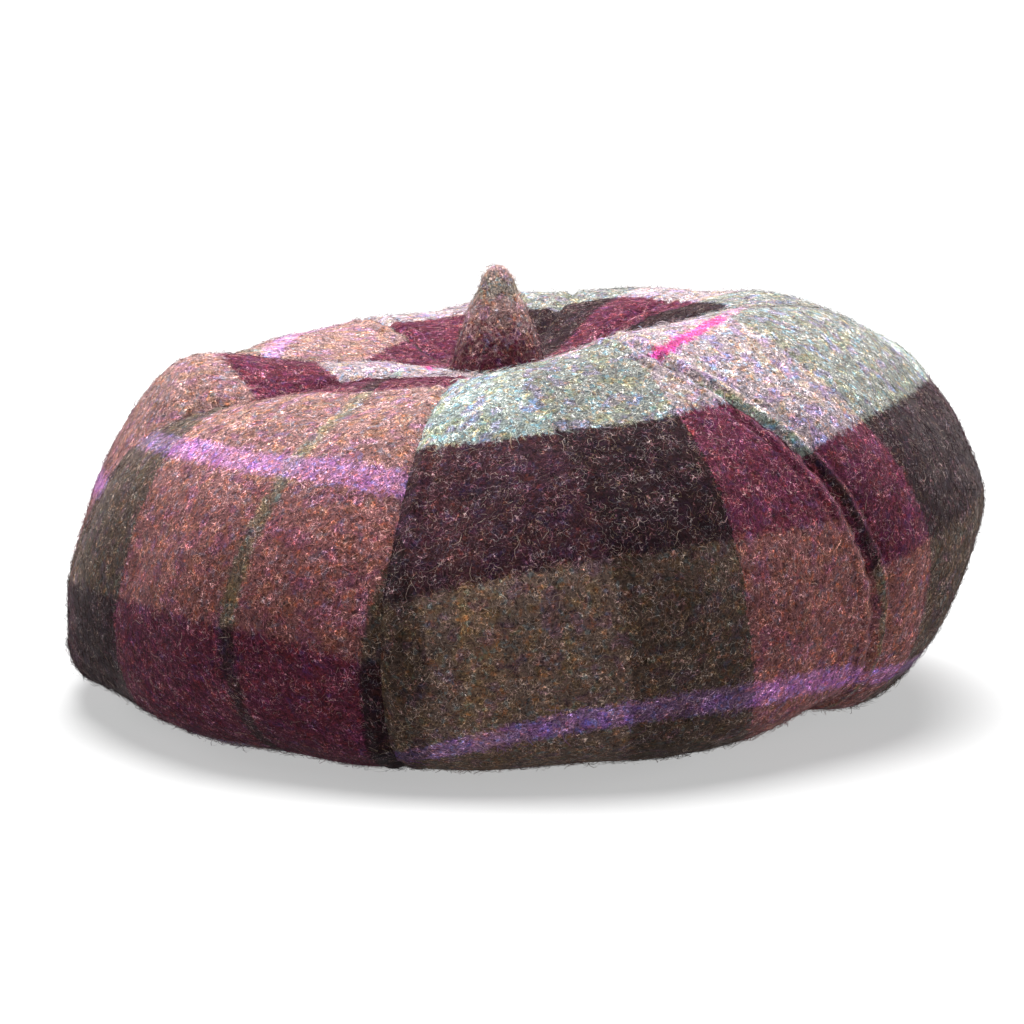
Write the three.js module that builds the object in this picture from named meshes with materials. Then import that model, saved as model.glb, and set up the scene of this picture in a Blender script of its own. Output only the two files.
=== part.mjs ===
// A tam o' shanter of tartan tweed: a round, soft crown sewn from eight gores, which droops over a
// narrow headband, with a small hollow peak sewn on at the middle where the gores meet.
// Millimetres, +Z up. The hat faces -Y, +X is its right in a front view, and it rests at z = 0.
import * as THREE from 'three';

// Overall sizes of the crown.
const CROWN_RADIUS = 140;
const CROWN_HEIGHT = 109;
// How far the middle of the crown lies below the crown's height.
const DIP_DEPTH = 12.5;
const CLOTH = 2;
// Clearances between sewn pieces.
const SEAM_GAP = 0.3;
const FIT_GAP = 0.35;

// The headband stands inside the crown's rim.
const BAND_RADIUS = 89;
const BAND_WALL = 2.6;
const BAND_HEIGHT = 28;
const BAND_SIDES = 64;
// How far the gores' rim, which meets the headband, lies above the crown's foot.
const RIM_RISE = 4;
const RIM_RADIUS = BAND_RADIUS + BAND_WALL + FIT_GAP;

// The peak sits on the gores' tips, and PEAK_SEAT is the width of gore under its foot.
const PEAK_RADIUS = 14.3;
const PEAK_HEIGHT = 31;
const PEAK_SEAT = 4.3;
const TIP_RADIUS = PEAK_RADIUS - PEAK_SEAT;

// How finely each gore is divided.
const GORE_COLUMNS = 10;
const ROWS_PER_STATION = 3;

// The crown's shape: a row for each seam and each gore's middle, clockwise from the front seam seen
// from above. The turns are degrees from the front (-Y) towards +X, at the crest, belly and foot.
// Radii at crest, shoulder and belly are shares of CROWN_RADIUS, those at turn and foot are shares
// of the way from RIM_RADIUS to CROWN_RADIUS, and heights are shares of CROWN_HEIGHT.
const COLUMNS = ['crestTurn', 'bellyTurn', 'footTurn', 'crestRadius', 'crestHeight', 'shoulderRadius',
  'shoulderHeight', 'bellyRadius', 'bellyHeight', 'turnRadius', 'turnHeight', 'footRadius', 'footHeight'];
const DIRECTIONS = [
  ['front seam', -10, -12.5, -12.5, 0.50, 0.91, 0.76, 0.80, 0.97, 0.38, 0.62, 0.075, 0.13, 0.020],
  ['front right', 9, 17, 20, 0.58, 0.975, 0.82, 0.84, 0.99, 0.40, 0.62, 0.075, 0.13, 0.020],
  ['front right seam', 24, 46.5, 53, 0.61, 1.035, 0.84, 0.87, 0.98, 0.50, 0.77, 0.145, 0.42, 0.04],
  ['right', 60, 76, 81, 0.64, 1.075, 0.895, 0.89, 1.03, 0.55, 0.75, 0.18, 0.47, 0.06],
  ['right seam', 95, 105, 106, 0.62, 1.06, 0.88, 0.89, 1.02, 0.52, 0.68, 0.20, 0.36, 0.06],
  ['rear far right', 112, 124, 125, 0.62, 1.075, 0.88, 0.89, 1.00, 0.50, 0.72, 0.16, 0.30, 0.05],
  ['rear right seam', 130, 142, 143, 0.60, 1.055, 0.86, 0.87, 0.96, 0.48, 0.70, 0.14, 0.24, 0.04],
  ['rear right', 147, 160, 160, 0.61, 1.065, 0.87, 0.87, 0.95, 0.46, 0.70, 0.12, 0.24, 0.02],
  ['rear seam', 163, 177, 178, 0.59, 1.02, 0.86, 0.85, 0.92, 0.44, 0.70, 0.12, 0.24, 0.02],
  ['rear left', 188, 194, 196, 0.61, 1.00, 0.86, 0.83, 0.93, 0.42, 0.70, 0.10, 0.24, 0.01],
  ['rear left seam', 212, 212, 214, 0.60, 0.965, 0.83, 0.79, 0.91, 0.36, 0.70, 0.09, 0.24, 0.01],
  ['rear far left', 238, 230, 231, 0.62, 0.91, 0.80, 0.77, 0.92, 0.30, 0.70, 0.09, 0.24, 0.01],
  ['left rear seam', 263, 248, 248, 0.64, 0.885, 0.78, 0.74, 0.90, 0.25, 0.68, 0.08, 0.24, 0.01],
  ['left', 279, 267, 267, 0.66, 0.935, 0.78, 0.75, 0.93, 0.24, 0.66, 0.07, 0.24, 0.02],
  ['front left seam', 295, 286, 286, 0.61, 0.83, 0.755, 0.735, 0.925, 0.27, 0.62, 0.075, 0.24, 0.015],
  ['front left', 323, 316, 317, 0.56, 0.89, 0.78, 0.77, 0.955, 0.33, 0.58, 0.065, 0.20, 0.012],
];

// Local dents and swellings of the slumped cloth: where they lie, in degrees and in stations down
// from the tip, how far they reach, and how far the cloth is moved out, as a share of CROWN_RADIUS,
// and up, as a share of CROWN_HEIGHT.
const DENTS = [
  { name: 'hollow of the right foot', turn: 49, station: 6.7, turnReach: 8, stationReach: 1.2, out: 0, up: 0.045 },
  { name: 'hollow of the left foot', turn: 287, station: 6.6, turnReach: 13, stationReach: 1.2, out: 0, up: 0.022 },
  { name: 'dent of the left side', turn: 272, station: 4.7, turnReach: 18, stationReach: 0.5, out: -0.022, up: 0 },
  { name: 'dent of the right side', turn: 86, station: 5.7, turnReach: 15, stationReach: 0.5, out: -0.025, up: 0 },
  { name: 'swelling of the left side', turn: 278, station: 5.8, turnReach: 16, stationReach: 0.5, out: 0.018, up: 0 },
];

// The eight gores in the same order, with the tartan's main colour on each.
const GORES = [
  ['gore_front_right', 0x4a3a36],
  ['gore_right', 0x9aa19c],
  ['gore_rear_far_right', 0x7d5560],
  ['gore_rear_right', 0x54393f],
  ['gore_rear_left', 0x6f3f4d],
  ['gore_rear_far_left', 0x8f6569],
  ['gore_left', 0x6a3d49],
  ['gore_front_left', 0x835a5b],
];
const PEAK_COLOUR = 0x6f4a4b;
const BAND_COLOUR = 0x4b3a39;

// The peak's profile: height as a share of PEAK_HEIGHT, radius as a share of PEAK_RADIUS.
const PEAK_PROFILE = [
  ['foot', 0, 1],
  ['flare', 0.15, 0.83],
  ['lower', 0.35, 0.67],
  ['middle', 0.57, 0.53],
  ['upper', 0.78, 0.41],
  ['round', 0.91, 0.29],
  ['cap', 0.98, 0.13],
];
const PEAK_POINTS_PER_GORE = 3;
// Seams fold together under the peak's top, so the cloth is this many times thicker there.
const PEAK_TOP_FOLDS = 1.5;

// How far along the slope from middle to crest its two inner stations lie, out and up.
const DIP_STATION = { out: 0.30, up: 0.12 };
const SLOPE_STATION = { out: 0.66, up: 0.70 };
// The shoulder's direction lies this far from the crest's to the belly's, and the turn's this far
// from the belly's to the foot's.
const SHOULDER_SHARE = 0.5;
const TURN_SHARE = 0.6;
const STATIONS = 9;
const CREST_STATION = 3;
const STEP = 1e-3;
const HALVINGS = 40;

const mix = (a, b, share) => a + (b - a) * share;

// The value of one column across a gore: its seams at t = -1 and 1, its middle at t = 0.
function acrossGore(gore, t, column) {
  const rows = DIRECTIONS.length;
  const index = COLUMNS.indexOf(column) + 1;
  const fullTurn = column.endsWith('Turn') ? 360 : 0;
  const read = (row) => DIRECTIONS[row % rows][index] + fullTurn * Math.floor(row / rows);
  const left = read(2 * gore);
  const middle = read(2 * gore + 1);
  const right = read(2 * gore + 2);
  return mix(left, right, (1 + t) / 2) + (middle - (left + right) / 2) * (1 - t * t);
}

// The nine stations of the profile at one place across a gore, as turn, radius and height.
function stationsAt(gore, t) {
  const at = (column) => acrossGore(gore, t, column);
  const tipHeight = CROWN_HEIGHT - DIP_DEPTH;
  const crestRadius = at('crestRadius') * CROWN_RADIUS;
  const crestHeight = at('crestHeight') * CROWN_HEIGHT;
  const crestTurn = at('crestTurn');
  const bellyTurn = at('bellyTurn');
  const footTurn = at('footTurn');
  const slope = ({ out, up }) => [crestTurn, mix(TIP_RADIUS, crestRadius, out), mix(tipHeight, crestHeight, up)];
  const outOfRim = (share) => mix(RIM_RADIUS, CROWN_RADIUS, share);
  const footHeight = at('footHeight') * CROWN_HEIGHT;
  return [
    [crestTurn, TIP_RADIUS, tipHeight],
    slope(DIP_STATION),
    slope(SLOPE_STATION),
    [crestTurn, crestRadius, crestHeight],
    [mix(crestTurn, bellyTurn, SHOULDER_SHARE), at('shoulderRadius') * CROWN_RADIUS, at('shoulderHeight') * CROWN_HEIGHT],
    [bellyTurn, at('bellyRadius') * CROWN_RADIUS, at('bellyHeight') * CROWN_HEIGHT],
    [mix(bellyTurn, footTurn, TURN_SHARE), outOfRim(at('turnRadius')), at('turnHeight') * CROWN_HEIGHT],
    [footTurn, outOfRim(at('footRadius')), footHeight],
    [footTurn, RIM_RADIUS, footHeight + RIM_RISE],
  ];
}

// A smooth curve through the stations, with tangents that allow for the stations' spacing.
function alongStations(stations, s) {
  const k = Math.min(Math.floor(s), stations.length - 2);
  const span = (i) => Math.hypot(stations[i + 1][1] - stations[i][1], stations[i + 1][2] - stations[i][2]);
  const secant = (i) => stations[i + 1].map((value, axis) => (value - stations[i][axis]) / span(i));
  const tangent = (i) => {
    if (i === 0) return secant(0);
    if (i === stations.length - 1) return secant(i - 1);
    const before = secant(i - 1);
    const after = secant(i);
    const share = span(i - 1) / (span(i - 1) + span(i));
    return before.map((value, axis) => mix(value, after[axis], share));
  };
  const f = s - k;
  const length = span(k);
  const start = tangent(k);
  const end = tangent(k + 1);
  return stations[k].map((value, axis) => (
    value * (1 + 2 * f) * (1 - f) ** 2
    + start[axis] * length * f * (1 - f) ** 2
    + stations[k + 1][axis] * f * f * (3 - 2 * f)
    - end[axis] * length * f * f * (1 - f)
  ));
}

// How strongly a dent acts at one place, from 0 far off to 1 at its middle.
function dentStrength(dent, turn, s) {
  const apart = THREE.MathUtils.euclideanModulo(turn - dent.turn + 180, 360) - 180;
  return Math.exp(-((apart / dent.turnReach) ** 2) - ((s - dent.station) / dent.stationReach) ** 2);
}

// A point of a gore's outer face: t runs across from seam to seam, s down from tip to rim.
function facePoint(gore, t, s) {
  const [turn, smoothRadius, smoothHeight] = alongStations(stationsAt(gore, t), s);
  let radius = smoothRadius;
  let height = smoothHeight;
  DENTS.forEach((dent) => {
    const strength = dentStrength(dent, turn, s);
    radius += dent.out * CROWN_RADIUS * strength;
    height += dent.up * CROWN_HEIGHT * strength;
  });
  const angle = THREE.MathUtils.degToRad(turn);
  return new THREE.Vector3(radius * Math.sin(angle), -radius * Math.cos(angle), height);
}

function faceNormal(gore, t, s) {
  const across = facePoint(gore, Math.min(1, t + STEP), s).sub(facePoint(gore, Math.max(-1, t - STEP), s));
  const down = facePoint(gore, t, Math.min(STATIONS - 1, s + STEP)).sub(facePoint(gore, t, Math.max(0, s - STEP)));
  return down.cross(across).normalize();
}

// The direction through the cloth. At a seam it is shared with the next gore, so that the two
// gores' edges stay parallel through the thickness.
function throughCloth(gore, t, s) {
  const own = faceNormal(gore, t, s);
  if (Math.abs(t) < 1) return own;
  const next = (gore + Math.sign(t) + GORES.length) % GORES.length;
  const shared = own.clone().add(faceNormal(next, -t, s)).normalize();
  return shared.divideScalar(shared.dot(own));
}

// A closed shell from two grids of points with the same rows and columns, outer and inner.
function shellGeometry(outer, inner, closedAcross) {
  const rows = outer.length;
  const columns = outer[0].length;
  const positions = [...outer.flat(), ...inner.flat()].flatMap((point) => point.toArray());
  const top = (row, column) => row * columns + (column % columns);
  const under = (row, column) => rows * columns + top(row, column);
  const faces = [];
  const quad = (a, b, c, d) => faces.push(a, b, c, a, c, d);
  const lastColumn = closedAcross ? columns : columns - 1;
  for (let row = 0; row < rows - 1; row += 1) {
    for (let column = 0; column < lastColumn; column += 1) {
      quad(top(row, column), top(row + 1, column), top(row + 1, column + 1), top(row, column + 1));
      quad(under(row, column), under(row, column + 1), under(row + 1, column + 1), under(row + 1, column));
    }
  }
  for (let column = 0; column < lastColumn; column += 1) {
    quad(top(0, column), top(0, column + 1), under(0, column + 1), under(0, column));
    const foot = rows - 1;
    quad(top(foot, column), under(foot, column), under(foot, column + 1), top(foot, column + 1));
  }
  if (!closedAcross) {
    for (let row = 0; row < rows - 1; row += 1) {
      quad(top(row, 0), under(row, 0), under(row + 1, 0), top(row + 1, 0));
      quad(top(row, lastColumn), top(row + 1, lastColumn), under(row + 1, lastColumn), under(row, lastColumn));
    }
  }
  const geometry = new THREE.BufferGeometry();
  geometry.setAttribute('position', new THREE.Float32BufferAttribute(positions, 3));
  geometry.setIndex(faces);
  geometry.computeVertexNormals();
  return geometry;
}

// One gore: its outer face and, a cloth's thickness under it, its inner face. The outer face stops
// half a seam gap short of each seam.
function goreGeometry(gore) {
  const rows = (STATIONS - 1) * ROWS_PER_STATION;
  const outer = [];
  const inner = [];
  for (let row = 0; row <= rows; row += 1) {
    const s = row / ROWS_PER_STATION;
    const halfWidth = facePoint(gore, 1, s).distanceTo(facePoint(gore, -1, s)) / 2;
    const reach = 1 - SEAM_GAP / 2 / halfWidth;
    const outerRow = [];
    const innerRow = [];
    for (let column = 0; column <= GORE_COLUMNS; column += 1) {
      const t = (2 * column) / GORE_COLUMNS - 1;
      const point = facePoint(gore, t * reach, s);
      outerRow.push(point);
      innerRow.push(point.clone().addScaledVector(throughCloth(gore, t, s), -CLOTH));
    }
    outer.push(outerRow);
    inner.push(innerRow);
  }
  return shellGeometry(outer, inner, false);
}

// How far down a gore, in stations, its outer face has the given radius about the peak.
function stationAtRadius(gore, t, radius) {
  const stations = stationsAt(gore, t);
  let low = 0;
  let high = CREST_STATION;
  for (let halving = 0; halving < HALVINGS; halving += 1) {
    const middle = (low + high) / 2;
    if (alongStations(stations, middle)[1] < radius) low = middle;
    else high = middle;
  }
  return (low + high) / 2;
}

// The peak: a small sewn cone, hollow and open below, whose foot follows the gores under it.
function peakGeometry() {
  const seats = (radius) => GORES.flatMap((_, gore) => (
    Array.from({ length: PEAK_POINTS_PER_GORE }, (__, k) => {
      const t = (2 * k) / PEAK_POINTS_PER_GORE - 1;
      const seat = facePoint(gore, t, stationAtRadius(gore, t, radius));
      seat.z += FIT_GAP;
      return seat;
    })
  ));
  const tipHeight = CROWN_HEIGHT - DIP_DEPTH + PEAK_HEIGHT;
  const face = (footRadius, capHeight) => {
    const foot = seats(footRadius);
    const rings = PEAK_PROFILE.map(([, up, out]) => foot.map((seat) => (
      new THREE.Vector3(seat.x * out, seat.y * out, mix(seat.z, capHeight, up))
    )));
    return rings.reverse();
  };
  const innerTop = tipHeight - CLOTH * PEAK_TOP_FOLDS;
  return cappedShell(face(PEAK_RADIUS, tipHeight), face(PEAK_RADIUS - CLOTH, innerTop), tipHeight, innerTop);
}

// A shell that closes over the top: rings from the cap down, each face ending in one point.
function cappedShell(outer, inner, outerTop, innerTop) {
  const rows = outer.length;
  const columns = outer[0].length;
  const points = [...outer.flat(), ...inner.flat(), new THREE.Vector3(0, 0, outerTop), new THREE.Vector3(0, 0, innerTop)];
  const top = (row, column) => row * columns + (column % columns);
  const under = (row, column) => rows * columns + top(row, column);
  const outerPole = 2 * rows * columns;
  const innerPole = outerPole + 1;
  const faces = [];
  const quad = (a, b, c, d) => faces.push(a, b, c, a, c, d);
  for (let column = 0; column < columns; column += 1) {
    faces.push(outerPole, top(0, column), top(0, column + 1));
    faces.push(innerPole, under(0, column + 1), under(0, column));
    for (let row = 0; row < rows - 1; row += 1) {
      quad(top(row, column), top(row + 1, column), top(row + 1, column + 1), top(row, column + 1));
      quad(under(row, column), under(row, column + 1), under(row + 1, column + 1), under(row + 1, column));
    }
    const foot = rows - 1;
    quad(top(foot, column), under(foot, column), under(foot, column + 1), top(foot, column + 1));
  }
  const geometry = new THREE.BufferGeometry();
  geometry.setAttribute('position', new THREE.Float32BufferAttribute(points.flatMap((point) => point.toArray()), 3));
  geometry.setIndex(faces);
  geometry.computeVertexNormals();
  return geometry;
}

// The headband: a plain upright ring of doubled cloth round the head opening.
function headbandGeometry() {
  const ring = (radius, height) => Array.from({ length: BAND_SIDES }, (_, side) => {
    const angle = (2 * Math.PI * side) / BAND_SIDES;
    return new THREE.Vector3(radius * Math.sin(angle), -radius * Math.cos(angle), height);
  });
  const face = (radius) => [ring(radius, BAND_HEIGHT), ring(radius, 0)];
  return shellGeometry(face(BAND_RADIUS + BAND_WALL), face(BAND_RADIUS), true);
}

function clothMesh(name, geometry, colour) {
  const mesh = new THREE.Mesh(geometry, new THREE.MeshStandardMaterial({ color: colour, roughness: 0.95, metalness: 0 }));
  mesh.name = name;
  return mesh;
}

const hat = new THREE.Group();
GORES.forEach(([name, colour], gore) => hat.add(clothMesh(name, goreGeometry(gore), colour)));
hat.add(clothMesh('peak', peakGeometry(), PEAK_COLOUR));
hat.add(clothMesh('headband', headbandGeometry(), BAND_COLOUR));

// The hat's origin is at the middle of its box, on the surface that it rests on.
const box = new THREE.Box3().setFromObject(hat);
const middle = box.getCenter(new THREE.Vector3());
hat.position.set(-middle.x, -middle.y, -box.min.z);

export default hat;
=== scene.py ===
"""The looks of a tam o' shanter: tartan tweed gores with sewn seams and a felted nap, on a pale floor."""
import logging
import math
from dataclasses import dataclass, field
from enum import Enum
from typing import NamedTuple

import bpy
import numpy as np
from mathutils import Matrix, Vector


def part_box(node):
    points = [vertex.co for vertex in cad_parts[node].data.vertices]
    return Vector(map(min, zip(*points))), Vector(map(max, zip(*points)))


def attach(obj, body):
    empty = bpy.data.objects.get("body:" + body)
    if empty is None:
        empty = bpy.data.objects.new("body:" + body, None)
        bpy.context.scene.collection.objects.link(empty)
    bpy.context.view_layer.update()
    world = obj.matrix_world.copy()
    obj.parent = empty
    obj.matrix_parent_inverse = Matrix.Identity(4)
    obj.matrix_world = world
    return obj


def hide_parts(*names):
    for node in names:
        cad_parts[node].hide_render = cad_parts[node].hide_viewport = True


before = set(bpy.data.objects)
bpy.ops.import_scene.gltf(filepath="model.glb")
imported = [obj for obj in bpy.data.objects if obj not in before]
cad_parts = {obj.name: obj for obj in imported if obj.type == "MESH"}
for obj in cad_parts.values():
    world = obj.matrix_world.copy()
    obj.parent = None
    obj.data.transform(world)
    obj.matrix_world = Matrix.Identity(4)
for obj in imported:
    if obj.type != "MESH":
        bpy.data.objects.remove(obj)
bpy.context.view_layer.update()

BODY = "root"
MM = 0.001
SQUARE_MM_PER_SQUARE_METRE = 1e6
NEARLY_ZERO = 1e-12
LOG = logging.getLogger("tam")


class Direction(NamedTuple):
    """The crown's form at one seam or at one gore's middle.

    Turns are degrees from the front towards the hat's right. Radii at crest, shoulder and belly are
    shares of the crown's radius, those at turn and foot are shares of the way from the rim to it,
    and heights are shares of the crown's height.
    """

    name: str
    crest_turn: float
    belly_turn: float
    foot_turn: float
    crest_radius: float
    crest_height: float
    shoulder_radius: float
    shoulder_height: float
    belly_radius: float
    belly_height: float
    turn_radius: float
    turn_height: float
    foot_radius: float
    foot_height: float


DIRECTIONS = (
    Direction("front seam", -10, -12.5, -12.5, 0.50, 0.91, 0.76, 0.80, 0.97, 0.38, 0.62, 0.075, 0.13, 0.020),
    Direction("front right", 9, 17, 20, 0.58, 0.975, 0.82, 0.84, 0.99, 0.40, 0.62, 0.075, 0.13, 0.020),
    Direction("front right seam", 24, 46.5, 53, 0.61, 1.035, 0.84, 0.87, 0.98, 0.5, 0.77, 0.145, 0.42, 0.04),
    Direction("right", 60, 76, 81, 0.64, 1.075, 0.895, 0.89, 1.03, 0.55, 0.75, 0.18, 0.47, 0.06),
    Direction("right seam", 95, 105, 106, 0.62, 1.06, 0.88, 0.89, 1.02, 0.52, 0.68, 0.20, 0.36, 0.06),
    Direction("rear far right", 112, 124, 125, 0.62, 1.075, 0.88, 0.89, 1.00, 0.50, 0.72, 0.16, 0.30, 0.05),
    Direction("rear right seam", 130, 142, 143, 0.60, 1.055, 0.86, 0.87, 0.96, 0.48, 0.70, 0.14, 0.24, 0.04),
    Direction("rear right", 147, 160, 160, 0.61, 1.065, 0.87, 0.87, 0.95, 0.46, 0.70, 0.12, 0.24, 0.02),
    Direction("rear seam", 163, 177, 178, 0.59, 1.02, 0.86, 0.85, 0.92, 0.44, 0.70, 0.12, 0.24, 0.02),
    Direction("rear left", 188, 194, 196, 0.61, 1.00, 0.86, 0.83, 0.93, 0.42, 0.70, 0.10, 0.24, 0.01),
    Direction("rear left seam", 212, 212, 214, 0.60, 0.965, 0.83, 0.79, 0.91, 0.36, 0.70, 0.09, 0.24, 0.01),
    Direction("rear far left", 238, 230, 231, 0.62, 0.91, 0.80, 0.77, 0.92, 0.30, 0.70, 0.09, 0.24, 0.01),
    Direction("left rear seam", 263, 248, 248, 0.64, 0.885, 0.78, 0.74, 0.90, 0.25, 0.68, 0.08, 0.24, 0.01),
    Direction("left", 279, 267, 267, 0.66, 0.935, 0.78, 0.75, 0.93, 0.24, 0.66, 0.07, 0.24, 0.02),
    Direction("front left seam", 295, 286, 286, 0.61, 0.83, 0.755, 0.735, 0.925, 0.27, 0.62, 0.075, 0.24,
              0.015),
    Direction("front left", 323, 316, 317, 0.56, 0.89, 0.78, 0.77, 0.955, 0.33, 0.58, 0.065, 0.20, 0.012),
)


class Weft(Enum):
    """The tartan's rows, which run round the hat."""

    PALE = 0
    DARK = 1
    MID = 2
    ORCHID = 3
    MAGENTA = 4


class Warp(Enum):
    """The tartan's columns, which run from the peak to the foot."""

    OLIVE = 0
    ROSE = 1


class Laid(NamedTuple):
    """How the tartan lies on one gore. Lengths are millimetres.

    Marks pair a distance down the gore's middle with the place along the sett that lies there.
    Across is the place of the sett's columns on the middle line at the belly, and lean and sway
    carry the columns sideways. Fall is how steeply the rows run down from left to right, with
    crest_fall added at the crest. Bow and bow_growth bend the rows down towards the seams. Left_edge
    pairs a distance down with the column that lies at the left seam there, and right_edge does so for
    the right seam. Ridge is how strongly the left seam stands out.
    """

    node: str
    marks: tuple[tuple[float, float], ...]
    across: float
    lean: float = 0
    sway: float = 0
    fall: float = 0
    crest_fall: float = 0
    bow: float = 0
    bow_growth: float = 0
    left_edge: tuple[tuple[float, float], ...] = ()
    right_edge: tuple[tuple[float, float], ...] = ()
    ridge: float = 1


LAYOUT = (
    Laid("gore_front_right", ((66, 0), (107, 46), (146, 88), (189.5, 134)), -27,
         lean=0.05, fall=-0.035, crest_fall=-0.06, bow_growth=3.3e-5),
    Laid("gore_right", ((76, 0), (130, 46), (169, 88), (215, 134)), 145,
         lean=-0.177, sway=6.5, fall=-0.065, crest_fall=-0.11, bow=2.4e-3, bow_growth=-2e-5, ridge=1.0,
         left_edge=((95, 60), (118, 49), (140, 45.5), (180, 44), (220, 36))),
    Laid("gore_rear_far_right", ((15, 180), (64, 222), (110, 268)), -8, fall=0.04),
    Laid("gore_rear_right", ((15, 180), (63, 222), (108, 268)), 100, fall=-0.03),
    Laid("gore_rear_left", ((15, 180), (58, 222), (103, 268)), 8, fall=0.02),
    Laid("gore_rear_far_left", ((5, 46), (36, 88), (67, 134), (113, 180)), 48, sway=5.5, crest_fall=-0.33),
    Laid("gore_left", ((43, 46), (72, 88), (134, 134), (164, 180)), 68),
    Laid("gore_front_left", ((60, 80), (105.7, 134), (152.3, 180), (198, 222)), 20,
         sway=-6.5, fall=0.1, bow=9e-4, ridge=0.4,
         right_edge=((110, 94), (135, 100), (165, 107), (200, 111))),
)


class Wave(NamedTuple):
    """One slow ripple of the cloth: its length and depth in millimetres, its direction and its start."""

    length: float
    depth: float
    direction: tuple[float, float, float]
    start: float


RIPPLES = (
    Wave(74, 0.9, (0.8, 0.3, 0.5), 0.4),
    Wave(58, 0.7, (-0.5, 0.7, 0.5), 2.1),
    Wave(41, 0.45, (0.4, -0.8, 0.45), 4.0),
    Wave(33, 0.35, (0.7, 0.6, -0.4), 1.2),
    Wave(23, 0.18, (-0.6, 0.2, 0.77), 5.1),
    Wave(19, 0.14, (0.3, 0.9, 0.3), 3.3),
)


class Dent(NamedTuple):
    """A local dent or swelling of the slumped cloth.

    It lies at a turn in degrees and a station down from the tip. It moves the cloth out by a share
    of the crown's radius, and up by a share of its height.
    """

    name: str
    turn: float
    station: float
    turn_reach: float
    station_reach: float
    out: float
    up: float


DENTS = (
    Dent("hollow of the right foot", 49, 6.7, 8, 1.2, 0, 0.045),
    Dent("hollow of the left foot", 287, 6.6, 13, 1.2, 0, 0.022),
    Dent("dent of the left side", 272, 4.7, 18, 0.5, -0.022, 0),
    Dent("dent of the right side", 86, 5.7, 15, 0.5, -0.025, 0),
    Dent("swelling of the left side", 278, 5.8, 16, 0.5, 0.018, 0),
)


def unit(vectors: np.ndarray) -> np.ndarray:
    """Vectors of length one, along the last axis."""
    return vectors / np.maximum(np.linalg.norm(vectors, axis=-1, keepdims=True), NEARLY_ZERO)


def grid_normals(points: np.ndarray) -> np.ndarray:
    """The outward normals of a grid of points.

    Args:
        points: Rows from the tip down, columns from one seam to the next.

    Returns:
        One unit normal for each point.
    """
    down = np.gradient(points, axis=0)
    across = np.gradient(points, axis=1)
    return unit(np.cross(down, across))


def smooth_rows(stations: np.ndarray, sizes: tuple[int, ...], s: np.ndarray) -> np.ndarray:
    """A smooth curve through stations, with tangents that allow for their spacing.

    Args:
        stations: Values by station, by kind of value, by row and column.
        sizes: The kinds of value that the spacing is measured by.
        s: How far along the curve each row is, in stations.

    Returns:
        Values by row, column and kind.
    """
    span = np.linalg.norm(np.diff(stations[:, list(sizes)], axis=0), axis=1)[:, None]
    secant = np.diff(stations, axis=0) / span
    share = span[:-1] / (span[:-1] + span[1:])
    tangent = np.concatenate([secant[:1], secant[:-1] * (1 - share) + secant[1:] * share, secant[-1:]])
    k = np.minimum(s.astype(int), len(stations) - 2)
    rows = np.arange(len(s))
    f = (s - k)[:, None, None]
    start, end = stations[k, :, rows], stations[k + 1, :, rows]
    length = span[k, :, rows]
    curve = start * (1 + 2 * f) * (1 - f) ** 2 + tangent[k, :, rows] * length * f * (1 - f) ** 2
    curve = curve + end * f * f * (3 - 2 * f) - tangent[k + 1, :, rows] * length * f * f * (1 - f)
    return np.moveaxis(curve, 1, -1)


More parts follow.
